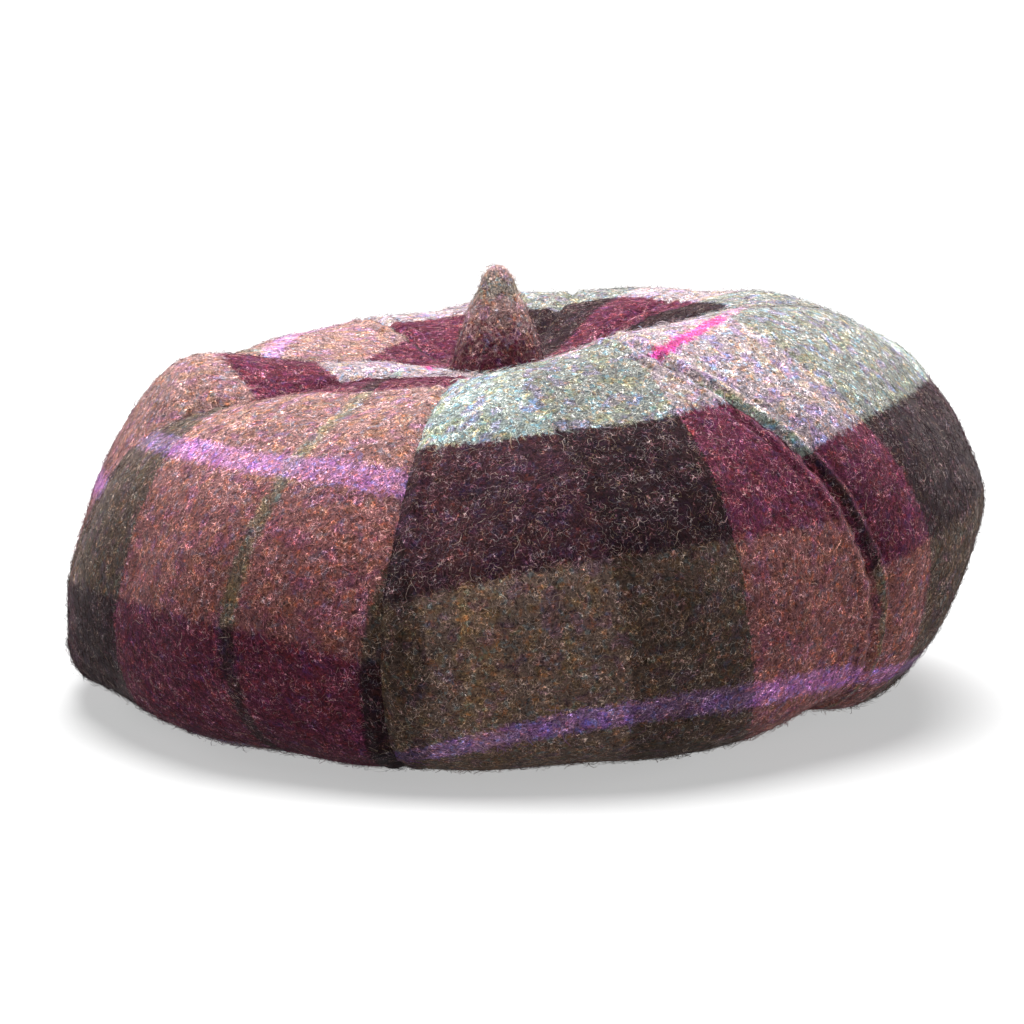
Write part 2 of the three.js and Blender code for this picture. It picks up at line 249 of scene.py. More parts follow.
@dataclass
class Crown:
    """The form of the whole crown, about the hat's axis, in metres."""

    axis: Vector
    band_radius: float
    radius: float = 140 * MM
    height: float = 109 * MM
    dip_depth: float = 12.5 * MM
    cloth: float = 2 * MM
    fit_gap: float = 0.35 * MM
    rim_rise: float = 4 * MM
    peak_radius: float = 14.3 * MM
    peak_seat: float = 4.3 * MM
    dip_out: float = 0.30
    dip_up: float = 0.12
    slope_out: float = 0.66
    slope_up: float = 0.70
    turn_share: float = 0.6

    @property
    def tip_radius(self) -> float:
        """Where the gores' tips end, under the peak's foot."""
        return self.peak_radius - self.peak_seat

    @property
    def rim_radius(self) -> float:
        """Where the gores meet the headband."""
        return self.band_radius + self.fit_gap

    def column(self, gore: int, t: np.ndarray, name: str) -> np.ndarray:
        """One column of the table across a gore, a parabola through seam, middle and seam.

        Args:
            gore: The gore's place in the order.
            t: Places across it, from -1 at one seam to 1 at the next.
            name: The column's name.

        Returns:
            The column's values at t.
        """
        full = 360.0 if name.endswith("_turn") else 0.0
        count = len(DIRECTIONS)
        rows = [2 * gore, 2 * gore + 1, 2 * gore + 2]
        left, middle, right = (getattr(DIRECTIONS[r % count], name) + full * (r // count) for r in rows)
        straight = left * (1 - t) / 2 + right * (1 + t) / 2
        return straight + (middle - (left + right) / 2) * (1 - t * t)

    def profile(self, gore: int, t: np.ndarray) -> np.ndarray:
        """The stations from tip to rim, as turn, radius and height.

        Args:
            gore: The gore's place in the order.
            t: Places across it, of any shape.

        Returns:
            An array of stations, by turn, radius and height, by the shape of t.
        """
        col = {name: self.column(gore, t, name) for name in Direction._fields[1:]}
        tip_height = self.height - self.dip_depth
        crest_r, crest_z = col["crest_radius"] * self.radius, col["crest_height"] * self.height
        foot_z = col["foot_height"] * self.height
        crest, belly, foot = col["crest_turn"], col["belly_turn"], col["foot_turn"]
        out_of_rim = self.radius - self.rim_radius
        same = np.ones_like(t)

        def slope(out: float, up: float) -> tuple[np.ndarray, np.ndarray, np.ndarray]:
            """One station of the slope from the middle up to the crest."""
            radius = self.tip_radius + (crest_r - self.tip_radius) * out
            return crest, radius, tip_height + (crest_z - tip_height) * up

        rows = (
            (crest, self.tip_radius * same, tip_height * same),
            slope(self.dip_out, self.dip_up),
            slope(self.slope_out, self.slope_up),
            (crest, crest_r, crest_z),
            (
                (crest + belly) / 2,
                col["shoulder_radius"] * self.radius,
                col["shoulder_height"] * self.height,
            ),
            (belly, col["belly_radius"] * self.radius, col["belly_height"] * self.height),
            (
                belly + (foot - belly) * self.turn_share,
                self.rim_radius + col["turn_radius"] * out_of_rim,
                col["turn_height"] * self.height,
            ),
            (foot, self.rim_radius + col["foot_radius"] * out_of_rim, foot_z),
            (foot, self.rim_radius * same, foot_z + self.rim_rise),
        )
        return np.array([np.stack(row) for row in rows])

    def polar(self, gore: int, t: np.ndarray, s: np.ndarray) -> np.ndarray:
        """The outer face as turn, radius and height, on a smooth curve through the stations.

        Args:
            gore: The gore's place in the order.
            t: Places across, by rows and columns.
            s: How far down each row is, in stations.

        Returns:
            Turn, radius and height, by rows and columns.
        """
        polar = smooth_rows(self.profile(gore, t), (1, 2), s)
        for dent in DENTS:
            apart = (polar[..., 0] - dent.turn + 180) % 360 - 180
            near = (apart / dent.turn_reach) ** 2 + ((s[:, None] - dent.station) / dent.station_reach) ** 2
            polar[..., 1] += dent.out * self.radius * np.exp(-near)
            polar[..., 2] += dent.up * self.height * np.exp(-near)
        return polar

    def face(self, gore: int, t: np.ndarray, s: np.ndarray) -> np.ndarray:
        """The outer face's points, in the part's frame.

        Args:
            gore: The gore's place in the order.
            t: Places across, by rows and columns.
            s: How far down each row is, in stations.

        Returns:
            Points, by rows and columns.
        """
        polar = self.polar(gore, t, s)
        turn = np.radians(polar[..., 0])
        x = self.axis.x + polar[..., 1] * np.sin(turn)
        y = self.axis.y - polar[..., 1] * np.cos(turn)
        return np.stack([x, y, polar[..., 2]], -1)


class Strip:
    """Meshes made straight from arrays of points and quads."""

    @staticmethod
    def mesh(
        name: str, points: np.ndarray, quads: np.ndarray, maps: dict[str, np.ndarray]
    ) -> bpy.types.Object:
        """A smooth-shaded object of quads.

        Args:
            name: The object's name.
            points: Its vertices.
            quads: Four vertex numbers for each face.
            maps: For each UV map's name, two numbers for each vertex.

        Returns:
            The object, linked to the scene.
        """
        mesh = bpy.data.meshes.new(name)
        mesh.vertices.add(len(points))
        mesh.vertices.foreach_set("co", points.astype(np.float32).ravel())
        mesh.loops.add(quads.size)
        mesh.loops.foreach_set("vertex_index", quads.astype(np.int32).ravel())
        mesh.polygons.add(len(quads))
        mesh.polygons.foreach_set("loop_start", np.arange(0, quads.size, 4, dtype=np.int32))
        mesh.polygons.foreach_set("loop_total", np.full(len(quads), 4, dtype=np.int32))
        mesh.polygons.foreach_set("use_smooth", np.ones(len(quads), dtype=bool))
        for map_name, places in maps.items():
            layer = mesh.uv_layers.new(name=map_name)
            layer.data.foreach_set("uv", places[quads.ravel()].astype(np.float32).ravel())
        mesh.update(calc_edges=True)
        made = bpy.data.objects.new(name, mesh)
        bpy.context.collection.objects.link(made)
        return made

    @staticmethod
    def shell_quads(rows: int, columns: int, closed: bool) -> np.ndarray:
        """The faces of a shell whose outer grid of vertices is followed by its inner one.

        Args:
            rows: Rows of each grid.
            columns: Columns of each grid.
            closed: Whether the last column joins the first.

        Returns:
            Four vertex numbers for each face, turned outwards.
        """
        number = np.arange(rows * columns).reshape(rows, columns)
        if closed:
            number = np.concatenate([number, number[:, :1]], axis=1)
        lower = rows * columns
        under = number + lower
        a, b = number[:-1, :-1], number[1:, :-1]
        c, d = number[1:, 1:], number[:-1, 1:]
        faces = [np.stack([a, b, c, d], -1).reshape(-1, 4)]
        faces.append(np.stack([a, d, c, b], -1).reshape(-1, 4) + lower)
        for row, turned in ((0, False), (rows - 1, True)):
            ring = [number[row, :-1], number[row, 1:], under[row, 1:], under[row, :-1]]
            faces.append(np.stack(ring[::-1] if turned else ring, -1))
        if not closed:
            for col, turned in ((0, True), (columns - 1, False)):
                ring = [number[:-1, col], number[1:, col], under[1:, col], under[:-1, col]]
                faces.append(np.stack(ring[::-1] if turned else ring, -1))
        return np.concatenate(faces)


@dataclass
class Nap:
    """The felted surface: short curled fibres that stand a little out of the cloth.

    Each fibre rises by its own lift, drawn from a gamma law with the shape and scale in lift_spread,
    and a share of them stray further out. Taper holds the width at each joint of a fibre, and widths,
    arcs and tilt say how far the fibres differ from each other.
    """

    per_square_mm: float = 0.62
    shortest: float = 2.2 * MM
    longest: float = 6.0 * MM
    width: float = 0.13 * MM
    lift: float = 0.4 * MM
    lift_spread: tuple[float, float] = (2.0, 0.5)
    stray_share: float = 0.05
    stray_lift: float = 1.1 * MM
    curl: float = 0.75
    pieces: int = 4
    taper: tuple[float, ...] = (0.7, 1, 1, 0.9, 0.3)
    widths: tuple[float, float] = (0.6, 1.3)
    arcs: tuple[float, float] = (0.55, 1.0)
    tilt: float = 0.5
    sunk: float = 0.05 * MM
    lowest: float = 0.1 * MM

    def grow(
        self, name: str, points: np.ndarray, normals: np.ndarray, places: np.ndarray, seed: int
    ) -> bpy.types.Object:
        """Fibres scattered evenly over a grid of cloth.

        Args:
            name: The name of the fibres' object.
            points: The cloth's points, by rows and columns.
            normals: Its outward normals.
            places: Its places on the tartan.
            seed: The start of the random draws.

        Returns:
            One object of ribbons, with the maps "Tartan" and "Strand".
        """
        rng = np.random.default_rng(seed)
        a, b, d = points[:-1, :-1], points[1:, :-1], points[:-1, 1:]
        area = np.linalg.norm(np.cross(b - a, d - a), axis=-1)
        count = int(area.sum() * SQUARE_MM_PER_SQUARE_METRE * self.per_square_mm)
        cell = rng.choice(area.size, count, p=(area / area.sum()).ravel())
        row, col = np.unravel_index(cell, area.shape)
        down, across = rng.random((2, count, 1))

        def within(grid: np.ndarray) -> np.ndarray:
            """The grid's value at each fibre's root.

            Args:
                grid: Values by rows and columns.

            Returns:
                One value for each fibre.
            """
            top = grid[row, col] * (1 - across) + grid[row, col + 1] * across
            low = grid[row + 1, col] * (1 - across) + grid[row + 1, col + 1] * across
            return top * (1 - down) + low * down

        root, out, place = within(points), unit(within(normals)), within(places)
        side = unit(np.cross(out, rng.normal(size=(count, 3))))
        ahead = np.cross(side, out)
        heading = rng.uniform(0, 2 * math.pi, (count, 1)) + np.cumsum(
            rng.normal(0, self.curl, (count, self.pieces)) + rng.normal(0, self.curl, (count, 1)), axis=1
        )
        step = rng.uniform(self.shortest, self.longest, (count, 1)) / self.pieces
        rise = rng.gamma(*self.lift_spread, (count, 1)) * self.lift
        stray = rng.random((count, 1)) < self.stray_share
        rise = np.where(stray, rise + self.stray_lift * rng.random((count, 1)), rise)
        ends = np.zeros((count, self.pieces + 1, 3))
        forward, sideways = np.cos(heading)[..., None], np.sin(heading)[..., None]
        moves = step[..., None] * (forward * ahead[:, None] + sideways * side[:, None])
        ends[:, 1:] = np.cumsum(moves, axis=1)
        along = np.linspace(0, 1, self.pieces + 1)
        shape = np.sin(along * math.pi * rng.uniform(*self.arcs, (count, 1)))
        ends += root[:, None] + out[:, None] * (rise * shape - self.sunk)[..., None]
        last = np.concatenate([heading[:, :1], heading], axis=1)
        flat = -np.sin(last)[..., None] * ahead[:, None] + np.cos(last)[..., None] * side[:, None]
        tilt = rng.normal(0, self.tilt, (count, 1, 1)) * out[:, None]
        half = self.width / 2 * rng.uniform(*self.widths, (count, 1, 1))
        half = half * np.array(self.taper)[None, :, None]
        edge = unit(flat + tilt) * half
        vertices = np.stack([ends - edge, ends + edge], 2).reshape(-1, 3)
        vertices[:, 2] = np.maximum(vertices[:, 2], self.lowest)
        first = np.arange(count)[:, None] * 2 * (self.pieces + 1) + 2 * np.arange(self.pieces)
        quads = np.stack([first, first + 1, first + 3, first + 2], -1).reshape(-1, 4)
        each = 2 * (self.pieces + 1)
        tone = np.stack([rng.random(count), rng.random(count)], -1)
        maps = {"Tartan": np.repeat(place, each, axis=0), "Strand": np.repeat(tone, each, axis=0)}
        return Strip.mesh(name, vertices, quads, maps)


@dataclass
class Seams:
    """The sewn seams between gores: a groove with a swelling and a stitched line on each side.

    Reaches are how far from the seam the cloth's columns of points lie, in millimetres.
    """

    reaches: tuple[float, ...] = (0, 0.35, 0.7, 1.1, 1.6, 2.2, 3.0, 4.0, 5.0, 5.7, 6.3, 7.2, 9.0)
    groove: float = 0.9 * MM
    groove_width: float = 1.6 * MM
    swell: float = 0.45 * MM
    swell_at: float = 3.4 * MM
    swell_width: float = 1.4 * MM
    stitch: float = 0.4 * MM
    stitch_at: float = 5.7 * MM
    stitch_width: float = 0.6 * MM
    pucker: float = 0.35 * MM
    pucker_length: float = 9 * MM
    second_pucker: float = 0.6
    second_beat: float = 1.85

    def relief(self, away: np.ndarray, along: np.ndarray, ridge: np.ndarray) -> np.ndarray:
        """How far the cloth stands out near a seam.

        Args:
            away: The distance to the nearest seam.
            along: The distance down the gore.
            ridge: How strongly that seam stands out.

        Returns:
            The height over the smooth form, in metres.
        """
        bump = self.swell * np.exp(-(((away - self.swell_at) / self.swell_width) ** 2))
        bump = bump - self.stitch * np.exp(-(((away - self.stitch_at) / self.stitch_width) ** 2))
        bump = bump * ridge - self.groove * np.minimum(ridge, 1) * np.exp(-((away / self.groove_width) ** 2))
        phase = 2 * math.pi * along / self.pucker_length
        beat = np.sin(phase) + self.second_pucker * np.sin(self.second_beat * phase)
        return bump + self.pucker * beat * np.exp(-((away / self.stitch_at) ** 2))


@dataclass
class Gore:
    """One gore of the crown: its cloth, and how the tartan lies on it.

    The lengths from belly_at to bow_from go with the table of how the tartan is laid, and are
    millimetres as there.
    """

    index: int
    crown: Crown
    seams: Seams
    nap: Nap
    inner_columns: int = 14
    rows_per_span: tuple[int, ...] = (8, 10, 12, 16, 22, 20, 14, 8)
    seam_share: float = 0.6
    seam_lap: float = 0.06 * MM
    shared_reach: float = 3 * MM
    foot_fade: float = 2.5
    lowest: float = 0.2 * MM
    belly_at: float = 150.0
    sway_length: float = 50.0
    crest_ends: float = 130.0
    crest_length: float = 40.0
    bow_from: float = 100.0
    first_seed: int = 40
    points: np.ndarray = field(init=False, repr=False)
    normals: np.ndarray = field(init=False, repr=False)
    places: np.ndarray = field(init=False, repr=False)

    @property
    def laid(self) -> Laid:
        """How the tartan lies on this gore."""
        return LAYOUT[self.index]

    def rows(self) -> np.ndarray:
        """How far down each row of points lies, in stations."""
        parts = [k + np.arange(n) / n for k, n in enumerate(self.rows_per_span)]
        return np.append(np.concatenate(parts), float(len(self.rows_per_span)))

    def across(self, s: np.ndarray) -> tuple[np.ndarray, np.ndarray]:
        """Where the columns of points lie, close together beside the seams.

        Args:
            s: How far down each row is, in stations.

        Returns:
            The places across from -1 to 1, and each one's distance to the nearest seam.
        """
        ends = np.tile([-1.0, 0.0, 1.0], (len(s), 1))
        edge = self.crown.face(self.index, ends, s)
        half = np.linalg.norm(np.diff(edge, axis=1), axis=-1).sum(axis=1) / 2
        reach = np.array(self.seams.reaches) * MM
        near = reach * np.minimum(1, self.seam_share * half / reach[-1])[:, None] - self.seam_lap / 2
        steps = np.arange(1, self.inner_columns + 1) / self.inner_columns
        inside = near[:, -1:] + (half[:, None] - near[:, -1:]) * steps
        away = np.concatenate([near, inside], axis=1)
        t = 1 - away / half[:, None]
        return np.concatenate([-t, t[:, -2::-1]], axis=1), np.concatenate([away, away[:, -2::-1]], axis=1)

    def shape(self) -> None:
        """Works out the outer face with its ripples, dents and seams, and the tartan's places."""
        s = self.rows()
        t, away = self.across(s)
        smooth = self.crown.face(self.index, t, s)
        middle = smooth.shape[1] // 2
        down = np.append(0, np.cumsum(np.linalg.norm(np.diff(smooth[:, middle], axis=0), axis=-1)))
        chords = np.linalg.norm(np.diff(smooth, axis=1), axis=-1)
        width = np.concatenate([np.zeros((len(s), 1)), np.cumsum(chords, axis=1)], axis=1)
        width -= width[:, middle : middle + 1]
        self.places = self.on_tartan(width, np.broadcast_to(down[:, None], width.shape))
        following = LAYOUT[(self.index + 1) % len(LAYOUT)]
        ridge = np.where(t < 0, self.laid.ridge, following.ridge)
        lift = self.seams.relief(away, down[:, None] + 0 * away, ridge)
        for wave in RIPPLES:
            phase = smooth @ np.array(wave.direction) / (wave.length * MM) * 2 * math.pi
            lift = lift + wave.depth * MM * np.sin(phase + wave.start)
        fade = np.minimum(1, np.minimum(s, (len(self.rows_per_span) - s) / self.foot_fade))[:, None]
        self.points = smooth + self.outward(smooth, away) * (lift * fade)[..., None]
        self.points[..., 2] = np.maximum(self.points[..., 2], self.lowest)
        self.normals = grid_normals(self.points)

    def outward(self, smooth: np.ndarray, away: np.ndarray) -> np.ndarray:
        """The ways out of the cloth, which both gores share along their seam so that it stays shut.

        Args:
            smooth: The smooth form's points.
            away: Each point's distance to the nearest seam.

        Returns:
            One unit vector for each point.
        """
        from_axis = smooth - np.array([self.crown.axis.x, self.crown.axis.y, 0])
        round_hat = np.stack([-from_axis[..., 1], from_axis[..., 0], 0 * away], -1)
        shared = unit(np.cross(np.gradient(smooth, axis=0), round_hat))
        share = np.exp(-((away / self.shared_reach) ** 2))[..., None]
        return unit(grid_normals(smooth) * (1 - share) + shared * share)

    def on_tartan(self, across: np.ndarray, along: np.ndarray) -> np.ndarray:
        """Places on the tartan's cloth, in metres.

        Args:
            across: Distances from the gore's middle line.
            along: Distances down it from the tip.

        Returns:
            Two numbers for each point.
        """
        laid = self.laid
        u, v = across / MM, along / MM
        below = v - self.belly_at
        columns = u + laid.across - laid.lean * below - laid.sway * (below / self.sway_length) ** 2
        edges = ((0, laid.left_edge, TARTAN.rose / MM), (-1, laid.right_edge, TARTAN.stripe_middle / MM))
        for side, edge, kept in edges:
            if edge:
                wanted = np.interp(v[:, :1], *np.array(edge, float).T)
                wide = (wanted - kept) / (columns[:, side, None] - kept)
                moved = columns < kept if side == 0 else columns > kept
                columns = np.where(moved, kept + (columns - kept) * wide, columns)
        crest = np.clip((self.crest_ends - v) / self.crest_length, 0, 1)
        bow = laid.bow + laid.bow_growth * (v - self.bow_from)
        v = v - (laid.fall + laid.crest_fall * crest) * u - bow * u * u
        places, rows = np.array(laid.marks, float).T
        rates = np.diff(rows) / np.diff(places)
        before, after = np.minimum(v - places[0], 0), np.maximum(v - places[-1], 0)
        on_rows = np.interp(v, places, rows) + before * rates[0] + after * rates[-1]
        return np.stack([columns, on_rows], -1) * MM

    def build(self) -> tuple[bpy.types.Object, bpy.types.Object]:
        """The gore's cloth and its fibres.

        Returns:
            The two objects.
        """
        self.shape()
        inner = self.points - self.normals * self.crown.cloth
        inner[..., 2] = np.maximum(inner[..., 2], self.lowest * 2)
        rows, columns = self.points.shape[:2]
        vertices = np.concatenate([self.points.reshape(-1, 3), inner.reshape(-1, 3)])
        places = np.tile(self.places.reshape(-1, 2), (2, 1))
        quads = Strip.shell_quads(rows, columns, closed=False)
        cloth = Strip.mesh(f"{self.laid.node}_cloth", vertices, quads, {"Tartan": places})
        nap_name, seed = f"{self.laid.node}_nap", self.first_seed + self.index
        fibres = self.nap.grow(nap_name, self.points, self.normals, self.places, seed)
        return cloth, fibres


@dataclass
class Peak:
    """The small hollow cone on the middle of the crown, sewn from one piece of the tweed.

    Profile pairs a share of the cone's height with a share of its foot's radius. Fade and painted_light_from
    lay the tartan's dark row round the foot and its mid row above it, a painted shade that darkens the foot.
    """

    crown: Crown
    nap: Nap
    node: str = "peak"
    height: float = 31 * MM
    points_per_gore: int = 10
    rings_per_station: int = 5
    gathers: int = 14
    gather_depth: float = 0.25 * MM
    wobble: float = 0.35 * MM
    wobble_lobes: int = 2
    wobble_twist: float = 5.0
    foot_search: float = 1.5
    foot_samples: int = 60
    cap_cloths: float = 1.5
    seed: int = 60
    stripe_below_tip: float = 6.5 * MM
    # Painted shade: the peak's foot is laid in the tartan's dark row and the rest in its mid row, so the
    # foot is darker.
    fade: float = 3 * MM
    painted_light_from: float = 0.27
    profile: tuple[tuple[float, float], ...] = (
        (0, 1), (0.15, 0.91), (0.3, 0.82), (0.47, 0.69), (0.6, 0.57),
        (0.74, 0.43), (0.9, 0.28), (0.98, 0.13), (1, 0.01),
    )

    def foot(self, radius: float) -> np.ndarray:
        """The ring on which the peak stands, just over the gores' faces.

        Args:
            radius: The ring's radius about the hat's axis.

        Returns:
            Its points, in the part's frame.
        """
        parts = []
        s = np.linspace(0, self.foot_search, self.foot_samples)
        for gore in range(len(LAYOUT)):
            t = 2 * np.arange(self.points_per_gore) / self.points_per_gore - 1
            polar = self.crown.polar(gore, np.broadcast_to(t, (len(s), len(t))), s)
            for column in np.moveaxis(polar, 1, 0):
                height = np.interp(radius, column[:, 1], column[:, 2]) + self.crown.fit_gap
                turn = math.radians(column[0, 0])
                parts.append((radius * math.sin(turn), -radius * math.cos(turn), height))
        return np.array(parts) + np.array([self.crown.axis.x, self.crown.axis.y, 0])

    def face(self, radius: float, top: float) -> np.ndarray:
        """One face of the cone, from its cap down to its foot.

        Args:
            radius: The foot's radius.
            top: The cap's height.

        Returns:
            Points by ring and by place round the ring.
        """
        foot = self.foot(radius)
        steps = len(self.profile) - 1
        s = np.linspace(0, steps, steps * self.rings_per_station + 1)
        table = np.array(self.profile, float)[:, :, None, None]
        outline = smooth_rows(np.broadcast_to(table, (steps + 1, 2, len(s), 1)), (0, 1), s)[::-1, 0]
        middle = np.array([self.crown.axis.x, self.crown.axis.y, 0])
        out = foot - middle
        turn = np.arctan2(out[:, 0], out[:, 1])
        up, share = outline[:, :1], outline[:, 1:]
        wave = self.gather_depth * np.cos(self.gathers * turn) * (1 - up) ** 2
        sway = np.sin(self.wobble_lobes * turn + self.wobble_twist * up)
        wave = wave + self.wobble * sway * up * (1 - up) * 2
        scale = share + wave / radius * np.sqrt(share)
        flat = middle[:2] + out[None, :, :2] * scale[..., None]
        height = out[None, :, 2] * (1 - up) + top * up
        return np.concatenate([flat, height[..., None]], -1)

    def build(self) -> tuple[bpy.types.Object, bpy.types.Object]:
        """The cone's cloth and its fibres.

        Returns:
            The two objects.
        """
        top = self.crown.height - self.crown.dip_depth + self.height
        outer = self.face(self.crown.peak_radius, top)
        inner_top = top - self.cap_cloths * self.crown.cloth
        inner = self.face(self.crown.peak_radius - self.crown.cloth, inner_top)
        rows, columns = outer.shape[:2]
        closed = np.concatenate([outer, outer[:, :1]], axis=1)
        across = TARTAN.stripe_middle + (top - self.stripe_below_tip - closed[..., 2])
        # Painted shade: from the tip down, the tartan runs from the mid row into the dark row, darker at the
        # foot.
        share = (closed[..., 2] - closed[..., 2].min()) / (top - closed[..., 2].min())
        places = np.stack([across, TARTAN.rosy_edge + self.fade * (share - self.painted_light_from)], -1)
        quads = Strip.shell_quads(rows, columns, closed=True)
        vertices = np.concatenate([outer.reshape(-1, 3), inner.reshape(-1, 3)])
        both = np.tile(places[:, :-1].reshape(-1, 2), (2, 1))
        cloth = Strip.mesh(f"{self.node}_cloth", vertices, quads, {"Tartan": both})
        fibres = self.nap.grow(f"{self.node}_nap", closed, grid_normals(closed), places, self.seed)
        return cloth, fibres


@dataclass
class Headband:
    """The plain ring of doubled tweed round the head opening."""

    axis: Vector
    node: str = "headband"
    inner_radius: float = 89 * MM
    wall: float = 2.6 * MM
    height: float = 28 * MM
    edge: float = 1.0 * MM
    sides: int = 128
    rows: int = 22

    def build(self) -> bpy.types.Object:
        """The band, with rounded edges.

        Returns:
            The object.
        """
        turn = np.linspace(0, 2 * math.pi, self.sides, endpoint=False)
        up = np.linspace(1, 0, self.rows)
        from_end = np.minimum(up, 1 - up) * self.height
        pull = self.edge * np.clip(1 - from_end / self.edge, 0, 1) ** 2

        def face(radius: float, inward: float) -> np.ndarray:
            """One face of the band, its ends pulled towards the middle of the wall.

            Args:
                radius: The face's radius.
                inward: The way that its ends are pulled, 1 outwards or -1 inwards.

            Returns:
                Points by row and by place round the band.
            """
            r = (radius + inward * pull)[:, None]
            x, y = self.axis.x + r * np.sin(turn), self.axis.y - r * np.cos(turn)
            return np.stack([x, y, np.broadcast_to((up * self.height)[:, None], x.shape)], -1)

        faces = [face(self.inner_radius + self.wall, -1), face(self.inner_radius, 1)]
        points = np.concatenate(faces).reshape(-1, 3)
        quads = Strip.shell_quads(self.rows, self.sides, closed=True)
        band = Strip.mesh(f"{self.node}_cloth", points, quads, {"Tartan": points[:, [0, 2]]})
        return band


class Graph:
    """The node graph of one material, built by short calls.

    The numbers are the places of a colour Mix node's factor and two colours, and of its result.
    """

    MIX_INPUTS = (0, 6, 7)
    MIX_RESULT = 2

    def __init__(self, name: str) -> None:
        """A new material with an empty graph and its output.

        Args:
            name: The material's name.
        """
        self.material = bpy.data.materials.new(name)
        self.material.use_nodes = True
        self.tree = self.material.node_tree
        self.tree.nodes.clear()
        self.output = self.tree.nodes.new("ShaderNodeOutputMaterial")

    def node(self, kind: str, settings: dict | None = None, **inputs: object) -> bpy.types.Node:
        """One node.

        Args:
            kind: The node's type, without its common prefix.
            settings: Properties of the node itself.
            inputs: Values or outputs for its sockets, with spaces in their names as underscores.

        Returns:
            The node.
        """
        made = self.tree.nodes.new(f"ShaderNode{kind}")
        for key, value in (settings or {}).items():
            setattr(made, key, value)
        for key, value in inputs.items():
            self.feed(made.inputs[key.replace("_", " ")], value)
        return made

    def feed(self, socket: bpy.types.NodeSocket, value: object) -> None:
        """Links an output to a socket, or sets the socket's value.

        Args:
            socket: The socket to feed.
            value: Another node's output, or a plain value.
        """
        if isinstance(value, bpy.types.NodeSocket):
            self.tree.links.new(value, socket)
        else:
            socket.default_value = value

    def math(self, operation: str, *values: object) -> bpy.types.NodeSocket:
        """The output of one Math node.

        Args:
            operation: What it works out.
            values: What it works on, in order.

        Returns:
            Its result.
        """
        made = self.node("Math", {"operation": operation})
        for socket, value in zip(made.inputs, values):
            self.feed(socket, value)
        return made.outputs[0]

    def mix(self, factor: object, first: object, second: object, blend: str = "MIX") -> bpy.types.NodeSocket:
        """The output of one colour Mix node.

        Args:
            factor: How much of the second colour is in it.
            first: The colour at a factor of 0.
            second: The colour at a factor of 1.
            blend: The way of mixing.

        Returns:
            The mixed colour.
        """
        made = self.node("Mix", {"data_type": "RGBA", "blend_type": blend})
        for number, value in zip(self.MIX_INPUTS, (factor, first, second)):
            self.feed(made.inputs[number], value)
        return made.outputs[self.MIX_RESULT]

    def tinted(self, colour: object, tint: tuple[float, float, float]) -> bpy.types.NodeSocket:
        """The colour multiplied by a tint."""
        return self.mix(1.0, colour, (*tint, 1), "MULTIPLY")

    def shaded(self, colour: object, level: object) -> bpy.types.NodeSocket:
        """The colour multiplied by a grey level."""
        grey = self.node("CombineColor", None, Red=level, Green=level, Blue=level).outputs[0]
        return self.mix(1.0, colour, grey, "MULTIPLY")

    def step(self, value: object, low: float, high: float) -> bpy.types.NodeSocket:
        """A smooth step from 0 at low to 1 at high."""
        settings = {"interpolation_type": "SMOOTHSTEP"}
        return self.node("MapRange", settings, Value=value, From_Min=low, From_Max=high).outputs[0]

    def edge(self, value: object, place: float, soft: float) -> bpy.types.NodeSocket:
        """A smooth step from 0 to 1 across one place, softened to both sides."""
        return self.step(value, place - soft, place + soft)

    def inverse(self, mask: object) -> bpy.types.NodeSocket:
        """A mask that is 0 where this one is 1."""
        return self.math("SUBTRACT", 1.0, mask)

    def spread(
        self, value: object, taken: tuple[float, float], given: tuple[float, float]
    ) -> bpy.types.NodeSocket:
        """A value carried from one range to another, and held at its ends.

        Args:
            value: What is carried.
            taken: Where the first range starts and ends.
            given: What comes out there.

        Returns:
            The carried value.
        """
        ends = {"From_Min": taken[0], "From_Max": taken[1], "To_Min": given[0], "To_Max": given[1]}
        return self.node("MapRange", None, Value=value, **ends).outputs[0]

    def band(self, value: object, low: float, high: float, soft: float) -> bpy.types.NodeSocket:
        """A mask that is 1 between low and high, with soft edges.

        Args:
            value: What is measured.
            low: Where the band starts.
            high: Where it ends.
            soft: Half the width of its edges.

        Returns:
            The mask.
        """
        return self.math("SUBTRACT", self.edge(value, low, soft), self.edge(value, high, soft))

    def noise(self, place: object, scale: float, detail: float) -> bpy.types.NodeSocket:
        """The value of a noise texture, in features per metre."""
        return self.node("TexNoise", None, Vector=place, Scale=scale, Detail=detail).outputs["Fac"]

    def swing(self, place: object, scale: float, detail: float) -> bpy.types.NodeSocket:
        """How far the value of a noise texture lies from its middle, a half."""
        return self.math("SUBTRACT", self.noise(place, scale, detail), 0.5)

    def coordinates(self) -> bpy.types.NodeSocket:
        """The places in the object's own frame."""
        return self.node("TexCoord").outputs["Object"]

    def surface(self, shader: bpy.types.Node) -> bpy.types.Material:
        """The material, with this shader as its surface."""
        self.feed(self.output.inputs["Surface"], shader.outputs[0])
        return self.material


def linear(red: float, green: float, blue: float) -> tuple[float, float, float, float]:
    """A colour for a shader from the numbers that a screen shows, by the screens' common curve."""
    return (*(((c + 0.055) / 1.055) ** 2.4 if c > 0.04045 else c / 12.92 for c in (red, green, blue)), 1.0)


class LighterStripe(NamedTuple):
    """A stripe of lighter yarn down the cloth: where it lies past the rose column's edge, and its tint."""

    name: str
    start: float
    end: float
    tint: tuple[float, float, float]


